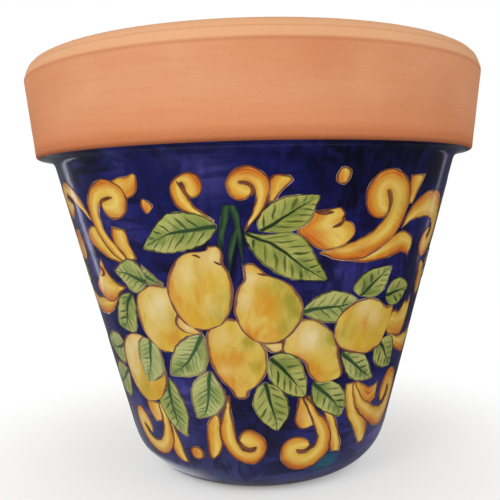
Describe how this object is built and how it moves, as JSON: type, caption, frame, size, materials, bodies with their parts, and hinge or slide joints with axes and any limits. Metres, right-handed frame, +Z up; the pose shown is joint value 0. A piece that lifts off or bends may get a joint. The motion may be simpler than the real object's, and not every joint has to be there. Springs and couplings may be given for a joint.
{
  "type": "cone planter",
  "caption": "Tapered round clay planter with a thick bare rim band, a rounded foot, a drain hole in the floor and a glazed, painted wall.",
  "frame": {"origin": "centre of the foot, on the ground the planter stands on", "axes": "+Z up along the pot's axis of turning; -Y is the painted front"},
  "size_m": [0.3, 0.2998, 0.268],
  "materials": {
    "terracotta": "bare fired clay, matt, with fine turning lines",
    "painted_glaze": "glossy cobalt blue ground with painted yellow scrolls, lemons and green leaves"
  },
  "bodies": {
    "root": {"clay_body": "terracotta", "glaze_coat": "painted_glaze"}
  },
  "joints": []
}
